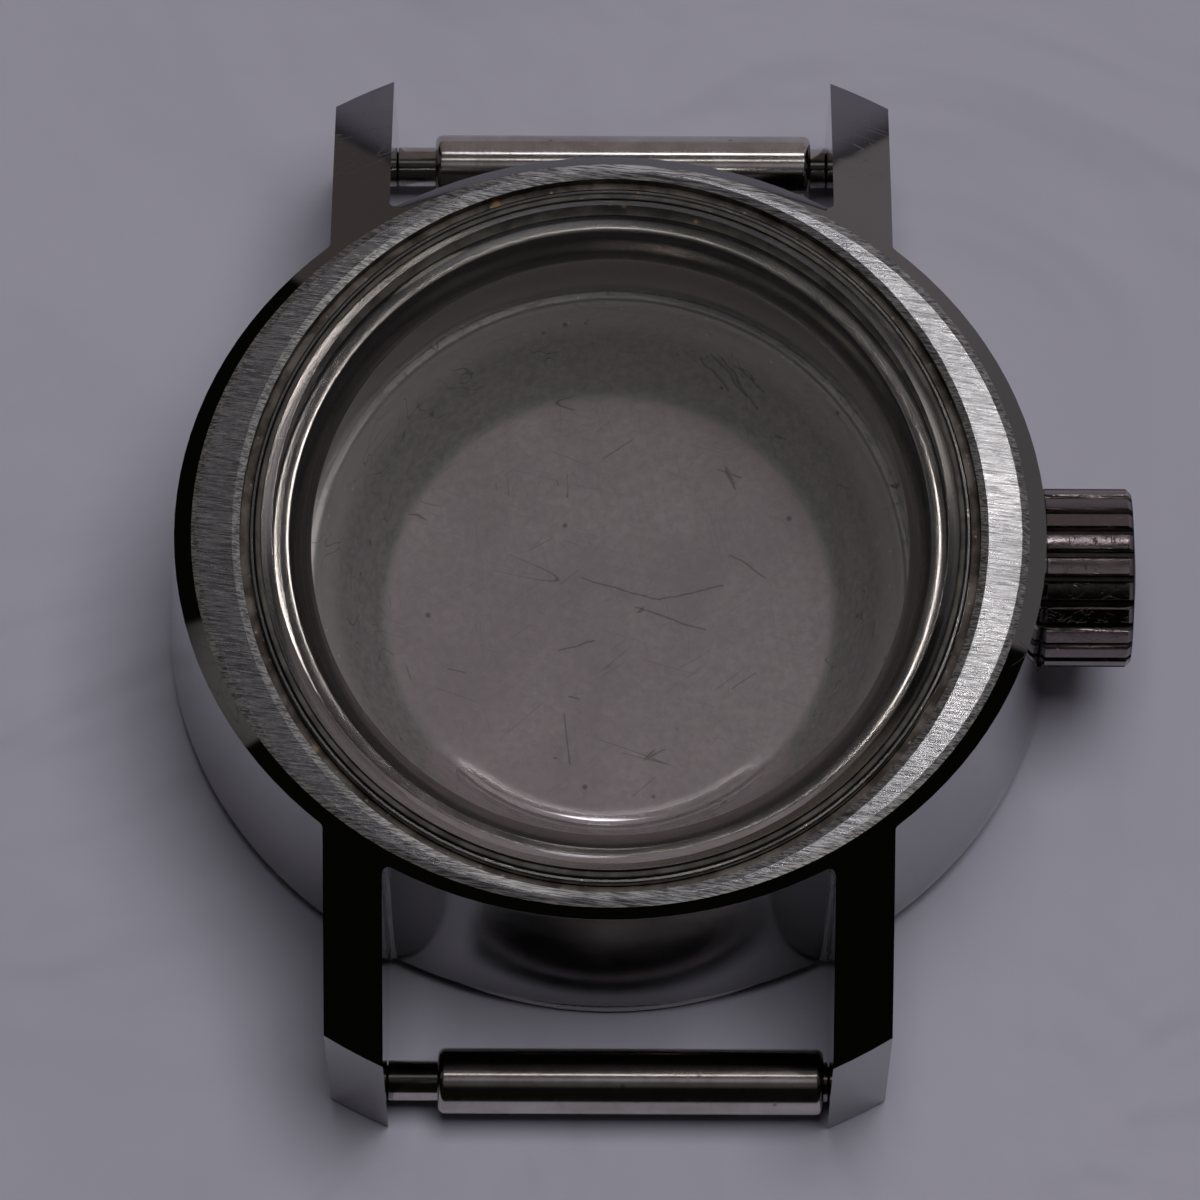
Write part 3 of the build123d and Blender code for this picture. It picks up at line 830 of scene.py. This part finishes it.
def make_crystal():
    bm = turned(
        [
            (0, CRYSTAL_UNDERSIDE),
            (CRYSTAL_REACH - CRYSTAL_CHAMFER, CRYSTAL_UNDERSIDE),
            (CRYSTAL_REACH, CRYSTAL_UNDERSIDE + CRYSTAL_CHAMFER),
            (CRYSTAL_REACH, CRYSTAL_TOP - CRYSTAL_BEVEL),
            (CRYSTAL_REACH - CRYSTAL_BEVEL, CRYSTAL_TOP),
            (0, CRYSTAL_TOP),
        ],
        320,
    )
    soften_edges(bm, CRYSTAL_ROUNDING, math.radians(30))
    return finish_piece("flat_crystal", bm, ["glass"], "case", "crystal")


def make_crystal_seal():
    bm = turned(
        [
            (SEAL_FLANGE, SEAL_SEAT),
            (SEAL_OUTER, SEAL_SEAT),
            (SEAL_OUTER, SEAL_TOP),
            (SEAL_INNER, SEAL_TOP),
            (SEAL_INNER, CRYSTAL_UNDERSIDE),
            (SEAL_FLANGE, CRYSTAL_UNDERSIDE),
        ]
    )
    soften_edges(bm, SEAL_ROUNDING)
    return finish_piece("crystal_seal", bm, ["gasket"], "case", "crystal_gasket")


def make_grip_ring():
    bm = turned(
        [
            (GRIP_INNER, SEAL_SEAT),
            (GRIP_OUTER, SEAL_SEAT),
            (GRIP_OUTER, GRIP_TOP - GRIP_EDGE),
            (GRIP_OUTER - GRIP_EDGE, GRIP_TOP),
            (GRIP_INNER + GRIP_EDGE, GRIP_TOP),
            (GRIP_INNER, GRIP_TOP - GRIP_EDGE),
        ]
    )
    return finish_piece("grip_ring", bm, ["bright"], "case", "crystal_grip_ring")


def make_reflector():
    bm = turned(
        [
            (REFLECTOR_MOUTH, REFLECTOR_TOP),
            (REFLECTOR_REACH, REFLECTOR_TOP),
            (REFLECTOR_REACH, REFLECTOR_STEP),
            (REFLECTOR_WALL, REFLECTOR_STEP),
            (REFLECTOR_WALL, REFLECTOR_FOOT),
            (REFLECTOR_THROAT, REFLECTOR_FOOT),
            (REFLECTOR_THROAT, REFLECTOR_FOOT + REFLECTOR_LIP),
        ]
    )
    soften_edges(bm, REFLECTOR_ROUNDING)
    return finish_piece("reflector", bm, ["turned"], "case", "reflector_ring")


def make_back():
    """The case back: the solid's surface, with the rim round its dish rounded."""
    bm = bmesh.new()
    bm.from_mesh(nodes["case_back"].data)
    bmesh.ops.remove_doubles(bm, verts=bm.verts, dist=MERGE)
    rim = [
        edge
        for edge in bm.edges
        if edge.calc_face_angle(0) > math.radians(30)
        and min(vert.co.z for vert in edge.verts) > (BACK_RIM_TOP - 0.02) * MM
        and max(vert.co.xy.length for vert in edge.verts) < BACK_RIM_REACH * MM
    ]
    round_edges(bm, rim, BACK_RIM_ROUNDING, 5)
    return finish_piece("back_cover", bm, ["back"], "back", "case_back", math.radians(20))


# ---------------------------------------------------------------- crown

FLUTES = 22
CREST = 2.42
FLUTE_DEPTH = 0.17
GROOVE_SHARE = 0.16
FLUTE_WALL_SHARE = 0.22
CROWN_INNER = 11.63
CROWN_OUTER = 14.23
CROWN_BORE = 1.77
CROWN_CAP = 0.40
CREST_CHAMFER = 0.14
CROWN_DOME = 0.12


def make_crown():
    """The fluted shell: a turned blank whose outside is drawn in between the ridges."""
    rim = CREST - CREST_CHAMFER
    bm = turned_on_stem(
        [
            (CROWN_BORE, CROWN_INNER),
            (rim, CROWN_INNER),
            (CREST, CROWN_INNER + CREST_CHAMFER),
            (CREST, CROWN_OUTER - CROWN_DOME - CREST_CHAMFER),
            (rim, CROWN_OUTER - CROWN_DOME),
            (rim / 3, CROWN_OUTER),
            (0, CROWN_OUTER),
            (0, CROWN_OUTER - CROWN_CAP),
            (CROWN_BORE, CROWN_OUTER - CROWN_CAP),
        ],
        FLUTES * 24,
    )
    for vert in bm.verts:
        arm = Vector((vert.co.y, vert.co.z - STEM_HEIGHT * MM))
        reach = arm.length * PER_MM
        turn = math.atan2(arm.y, arm.x)
        place_in_flute = abs((turn * FLUTES / FULL_TURN) % 1.0 - 0.5) * 2
        slope = min(1.0, max(0.0, (place_in_flute - GROOVE_SHARE) / FLUTE_WALL_SHARE))
        flute = CREST - FLUTE_DEPTH * (1.0 - slope)
        if reach > flute:
            arm = arm * (flute / reach)
            vert.co.y = arm.x
            vert.co.z = arm.y + STEM_HEIGHT * MM
    smooth_under = math.radians(40)
    return finish_piece("fluted_crown", bm, ["crown"], "crown", "crown_shell", smooth_under)


# ---------------------------------------------------------------- spring bars

BARREL_RADIUS = 0.90
BARREL_BORE = 0.68
BARREL_MOUTH = 0.57
BARREL_HALF = 5.25
BARREL_CRIMP = 0.25
PIN_RADIUS = 0.40
PIN_END = 6.73
PIN_CHAMFER = 0.08
NECK_RADIUS = 0.55
NECK_END = 5.98
COLLAR_RADIUS = 0.66
COLLAR_END = 4.37
COLLAR_START = 3.17
COIL_RADIUS = 0.47
COIL_WIRE = 0.13
COIL_TURNS = 11
COIL_STEPS = 20
COIL_LENGTH = 6.02

# How far each barrel stands off the middle, towards the crown
UPPER_BAR_SHIFT = 0.31
LOWER_BAR_SHIFT = 0.61


def make_bar(name, end, shift):
    """One spring bar: a barrel between its two tips, with its coil inside."""
    centre = Vector((0, end * BAR_REACH, BAR_HEIGHT))
    start, finish = shift - BARREL_HALF, shift + BARREL_HALF
    barrel = spun(
        [
            (BARREL_MOUTH, start),
            (BARREL_RADIUS, start),
            (BARREL_RADIUS, finish),
            (BARREL_MOUTH, finish),
            (BARREL_MOUTH, finish - BARREL_CRIMP),
            (BARREL_BORE, finish - BARREL_CRIMP),
            (BARREL_BORE, start + BARREL_CRIMP),
            (BARREL_MOUTH, start + BARREL_CRIMP),
        ],
        centre,
        CROWNWARDS,
        UP,
        64,
    )
    outer = [
        edge
        for edge in barrel.edges
        if edge.calc_face_angle() > 1
        and min((vert.co - centre * MM).yz.length for vert in edge.verts) > (BARREL_RADIUS - 0.01) * MM
    ]
    round_edges(barrel, outer, BARREL_ROUNDING, 5)
    finish_piece(name + "_barrel", barrel, ["bar"], name, name + "_tube", math.radians(35))
    for side, word in ((-1, "left"), (1, "right")):
        tip = spun(
            [
                (0, side * PIN_END),
                (PIN_RADIUS - PIN_CHAMFER, side * PIN_END),
                (PIN_RADIUS, side * (PIN_END - PIN_CHAMFER)),
                (PIN_RADIUS, side * NECK_END),
                (NECK_RADIUS, side * NECK_END),
                (NECK_RADIUS, side * COLLAR_END),
                (COLLAR_RADIUS, side * COLLAR_END),
                (COLLAR_RADIUS, side * COLLAR_START),
                (0, side * COLLAR_START),
            ],
            centre,
            CROWNWARDS,
            UP,
            48,
        )
        soften_edges(tip, TIP_ROUNDING)
        node = name + "_" + word + "_tip"
        finish_piece(name + "_" + word + "_pin", tip, ["bar"], name + "_" + word, node)


# ---------------------------------------------------------------- seals and coils


def make_crown_seal():
    """The rubber ring between the crown and its tube."""
    turns = [FULL_TURN * step / 20 for step in range(20)]
    ring = [
        (
            CROWN_SEAL_RADIUS + CROWN_SEAL_SECTION * math.cos(turn),
            CROWN_SEAL_PLACE + CROWN_SEAL_SECTION * math.sin(turn),
        )
        for turn in turns
    ]
    bm = turned_on_stem(ring)
    return finish_piece("crown_seal", bm, ["rubber"], "crown_slider", "crown_gasket")


def make_back_seal():
    """The rubber ring round the back's neck, its outer edges rounded."""
    bm = turned(
        [
            (BACK_SEAL_INNER, BACK_SEAL_LOW),
            (BACK_SEAL_OUTER - BACK_SEAL_EDGE, BACK_SEAL_LOW),
            (BACK_SEAL_OUTER, BACK_SEAL_LOW + BACK_SEAL_EDGE),
            (BACK_SEAL_OUTER, BACK_SEAL_HIGH - BACK_SEAL_EDGE),
            (BACK_SEAL_OUTER - BACK_SEAL_EDGE, BACK_SEAL_HIGH),
            (BACK_SEAL_INNER, BACK_SEAL_HIGH),
        ]
    )
    return finish_piece("back_seal", bm, ["rubber"], "back", "case_back_gasket", math.radians(50))


def make_coil(name, end):
    """One spring bar's coil in two halves, each pressed towards the middle by its own tip."""
    centre = Vector((0, end * BAR_REACH, BAR_HEIGHT))
    steps = COIL_TURNS * COIL_STEPS // 2
    half = COIL_LENGTH / 2
    upright = Matrix.Rotation(math.pi / 2, 4, "X")
    start = Matrix.Translation((centre + UP * COIL_RADIUS) * MM) @ upright
    for side, word in ((-1, "left"), (1, "right")):
        bm = bmesh.new()
        made = bmesh.ops.create_circle(
            bm, cap_ends=False, radius=COIL_WIRE * MM, segments=10, matrix=start
        )
        circle = made["verts"]
        bmesh.ops.spin(
            bm,
            geom=circle + list({edge for vert in circle for edge in vert.link_edges}),
            cent=centre * MM,
            axis=CROWNWARDS,
            dvec=CROWNWARDS * (side * half / steps) * MM,
            angle=side * COIL_TURNS * FULL_TURN / 2,
            steps=steps,
        )
        bmesh.ops.holes_fill(bm, edges=[edge for edge in bm.edges if len(edge.link_faces) == 1], sides=0)
        bmesh.ops.recalc_face_normals(bm, faces=bm.faces)
        title = f"{name}_{word}_coil"
        coil = finish_piece(title, bm, ["wire"], name, name + "_spring", math.radians(50))
        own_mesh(coil)


# ---------------------------------------------------------------- paper, light and surroundings


PAPER_HALF = 1500


def make_paper():
    material, tree, shader, place = start_material("pale_paper")
    crease = noise(tree, place, 0.028, 5.0, 0.5, 0.6)
    fibre = noise(tree, place, 1.2, 4.0, 0.6)
    spots = use_group(tree, effects["specks"], vector=place, scale=0.16, size=0.012, rarity=0.75)["Mask"]
    shade = blend_colour(tree, crease, colour(0.232, 0.223, 0.262), colour(0.285, 0.273, 0.320))
    shade = blend_colour(tree, multiply(tree, fibre, 0.25), shade, colour(0.235, 0.225, 0.265))
    shade = blend_colour(tree, multiply(tree, spots, 0.7), shade, colour(0.05, 0.05, 0.05))
    folds = ramp_between(tree, noise(tree, place, 0.05, 3.0, 0.45, 1.2), 0.35, 0.65)
    height = add(tree, multiply(tree, crease, 10.0), multiply(tree, folds, 2.2))
    height = add(tree, height, multiply(tree, fibre, 0.02))
    finish_shader(tree, shader, shade, 0.8, height, 0.25, metallic=0.0)
    shader.inputs["Specular IOR Level"].default_value = 0.2
    bm = bmesh.new()
    bmesh.ops.create_grid(bm, x_segments=1, y_segments=1, size=PAPER_HALF * MM)
    mesh = bpy.data.meshes.new("paper")
    bm.to_mesh(mesh)
    bm.free()
    paper = bpy.data.objects.new("paper", mesh)
    mesh.materials.append(material)
    bpy.context.scene.collection.objects.link(paper)


def make_lamp(name, place, size_x, size_y, radiance, tint, mirrored=True):
    """A soft rectangular lamp facing down, its strength given as the radiance of its face."""
    data = bpy.data.lights.new(name, "AREA")
    data.shape = "RECTANGLE"
    data.size = size_x * MM
    data.size_y = size_y * MM
    data.energy = radiance * math.pi * size_x * size_y * MM * MM
    data.color = tint
    lamp = bpy.data.objects.new(name, data)
    lamp.location = Vector(place) * MM
    lamp.visible_glossy = mirrored
    lamp.visible_transmission = mirrored
    bpy.context.scene.collection.objects.link(lamp)


def make_lamps():
    make_lamp("key", (62, 104, 400), 14, 60, 14.0, (1.0, 0.98, 0.96))
    make_lamp("fill", (62, 62, 450), 230, 230, 12.0, (0.97, 0.98, 1.0), mirrored=False)


# Small bright spots of the room that the metal mirrors: the way to each,
# the degrees round it that are full and where it ends, and its colour
GLOWS = [
    ((0.36, 0.20, 0.91), 3, 8, (0.42, 0.41, 0.43)),
    ((0.10, -0.12, 0.99), 4, 10, (0.30, 0.30, 0.33)),
    ((-0.35, 0.15, 0.925), 2, 7, (0.8, 0.77, 0.74)),
    ((0.25, -0.12, 0.96), 2.0, 4.0, (2.6, 2.45, 2.1)),
    ((0.025, 0.555, 0.83), 1.5, 3.0, (7.0, 7.0, 7.6)),
    ((0.0, 0.174, 0.985), 1.0, 2.0, (4.0, 3.9, 3.8)),
]


def make_surroundings():
    """A dim room for the metal to mirror: grey walls behind and to the right, dark elsewhere."""
    world = bpy.data.worlds.new("room")
    world.use_nodes = True
    bpy.context.scene.world = world
    tree = world.node_tree
    tree.nodes.clear()
    direction = put(tree, "ShaderNodeTexCoord").outputs["Generated"]
    parts = put(tree, "ShaderNodeSeparateXYZ", {0: direction}).outputs
    azimuth = math_node(tree, "DEGREES", math_node(tree, "ARCTAN2", parts[1], parts[0]))
    elevation = math_node(tree, "DEGREES", math_node(tree, "ARCSINE", parts[2]))

    def zone(low, high, edge, value):
        rise = ramp_between(tree, value, low - edge, low + edge)
        fall = ramp_between(tree, value, high - edge, high + edge, 1.0, 0.0)
        return multiply(tree, rise, fall)

    wall = zone(0, 124, 0.6, azimuth)
    low_sky = ramp_between(tree, elevation, 50, 58, 1.0, 0.0)
    window_rise = ramp_between(tree, azimuth, 30, 62)
    window_fall = ramp_between(tree, azimuth, 72, 104, 1.0, 0.0)
    window_side = multiply(tree, window_rise, window_fall)
    behind = math_node(tree, "MODULO", add(tree, azimuth, 360.0), 360.0)
    patch = multiply(tree, zone(176, 200, 0.7, behind), zone(36, 50, 1.0, elevation))
    ceiling = ramp_between(tree, elevation, 52, 66)

    dark = colour(0.004, 0.004, 0.003)
    towards_back = ramp_between(tree, azimuth, 60, 112)
    wall_shade = blend_colour(tree, towards_back, colour(0.180, 0.169, 0.176), colour(0.115, 0.099, 0.092))
    wall_shade = blend_colour(tree, window_side, wall_shade, colour(0.260, 0.238, 0.248))
    shade = blend_colour(tree, multiply(tree, wall, low_sky), dark, wall_shade)
    shade = blend_colour(tree, patch, shade, colour(0.170, 0.162, 0.158))
    shade = blend_colour(tree, ceiling, shade, colour(0.062, 0.059, 0.062))

    for towards, inner, outer, strength in GLOWS:
        nearness = vector_node(tree, "DOT_PRODUCT", direction, tuple(Vector(towards).normalized()))
        share = ramp_between(tree, nearness, math.cos(math.radians(outer)), math.cos(math.radians(inner)))
        shade = blend_colour(tree, share, shade, colour(*strength))
    background = put(tree, "ShaderNodeBackground", {"Color": shade, "Strength": 1.0})
    output = put(tree, "ShaderNodeOutputWorld")
    tree.links.new(background.outputs[0], output.inputs["Surface"])


make_camera()
make_case_body()
make_crystal()
make_crystal_seal()
make_grip_ring()
make_reflector()
make_back()
make_crown()
make_bar("upper_bar", 1, UPPER_BAR_SHIFT)
make_bar("lower_bar", -1, LOWER_BAR_SHIFT)
make_crown_seal()
make_back_seal()
make_coil("upper_bar", 1)
make_coil("lower_bar", -1)
for node, key in (("crown_tube", "turned"), ("crown_core", "turned"), ("crown_washer", "bright")):
    for slot_place in nodes[node].material_slots:
        slot_place.material = finishes[key]
make_paper()
make_lamps()
make_surroundings()
bpy.context.scene.view_settings.view_transform = "Standard"
